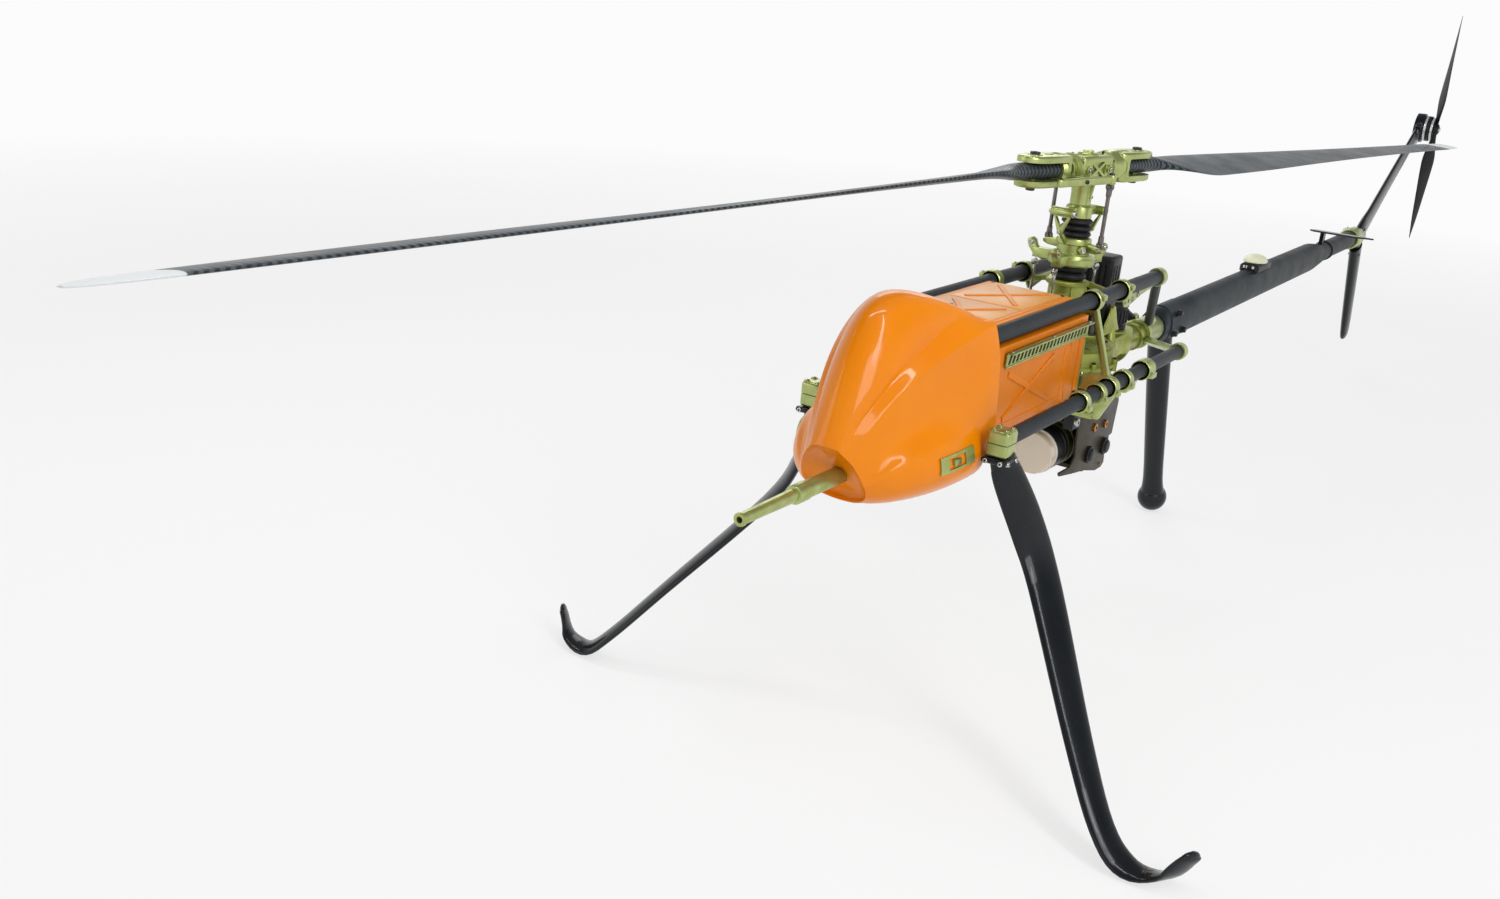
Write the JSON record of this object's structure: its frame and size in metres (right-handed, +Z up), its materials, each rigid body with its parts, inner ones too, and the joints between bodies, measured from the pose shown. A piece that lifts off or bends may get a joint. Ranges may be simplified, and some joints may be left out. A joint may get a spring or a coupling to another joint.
{
  "type": "electric helicopter",
  "caption": "Unmanned electric helicopter with a tube frame, orange nose cowl and batteries, a main rotor on an open hub, a tail boom with propeller and a three-legged gear.",
  "frame": {"origin": "middle of the footprint on the ground the landing gear stands on", "axes": "+Z up, -Y the way the nose points, +X the port side"},
  "size_m": [1.047, 4.6601, 1.104],
  "materials": {
    "nose_orange": "gloss orange paint on moulded composite",
    "battery": "satin orange moulded case",
    "battery_lid": "pale orange embossed lid",
    "green": "yellow green anodised",
    "carbon_tube": "matt carbon fibre tube",
    "boom": "satin carbon fibre moulding",
    "blade": "satin carbon fibre twill with white tips",
    "propeller": "matt carbon fibre",
    "gloss_black": "gloss black carbon moulding",
    "black_plastic": "satin black",
    "rubber": "matt moulded rubber",
    "steel": "ground steel",
    "payload_brown": "dark brown anodised plate",
    "cream": "cream radome",
    "window": "grey beige window with a pale rim"
  },
  "bodies": {
    "airframe": {"battery_lid": "battery_lid", "battery_pack": "battery", "battery_rail_port": "green", "battery_rail_starboard": "green", "battery_tray": "green", "bellows_lower": "rubber", "boom_clamp": "green", "controller_box": "black_plastic", "drive_motor": "black_plastic", "frame_bracket_front": "green", "frame_bracket_rear": "green", "frame_tube_lower_port": "carbon_tube", "frame_tube_lower_starboard": "carbon_tube", "frame_tube_upper_port": "carbon_tube", "frame_tube_upper_starboard": "carbon_tube", "front_leg_port": "gloss_black", "front_leg_starboard": "gloss_black", "gps_base": "green", "gps_dome": "cream", "leg_clamp_port": "green", "leg_clamp_starboard": "green", "main_gearbox": "green", "mast_housing": "green", "nose_bulkhead": "green", "nose_cowl": "nose_orange", "nose_latch_port": "green", "nose_latch_starboard": "green", "nose_probe": "green", "payload_barrel": "black_plastic", "payload_frame": "payload_brown", "payload_hanger": "green", "payload_window": "window", "rear_leg": "gloss_black", "rear_spider": "green", "rear_strut_port": "carbon_tube", "rear_strut_starboard": "carbon_tube", "servo_front": "black_plastic", "servo_rear": "black_plastic", "servo_starboard": "black_plastic", "stabilizer": "gloss_black", "swash_lower": "green", "tail_boom": "boom", "tail_fin_lower": "gloss_black", "tail_fin_upper": "gloss_black", "tail_motor": "black_plastic"},
    "main_rotor": {"rotor_shaft": "steel", "hub_yoke": "green", "blade_grip_a": "green", "blade_grip_b": "green", "blade_a": "blade", "blade_b": "blade", "pitch_link_a": "steel", "pitch_link_b": "steel", "swash_upper": "green", "bellows_upper": "rubber"},
    "tail_rotor": {"tail_propeller": "propeller"}
  },
  "joints": [
    {"name": "main_rotor_spin", "type": "hinge", "parent": "airframe", "child": "main_rotor", "pos_m": [0, -0.755, 0.788], "axis": [0, 0, 1], "continuous": true},
    {"name": "tail_rotor_spin", "type": "hinge", "parent": "airframe", "child": "tail_rotor", "pos_m": [0.046, 2.285, 0.744], "axis": [1, 0, 0], "continuous": true}
  ]
}
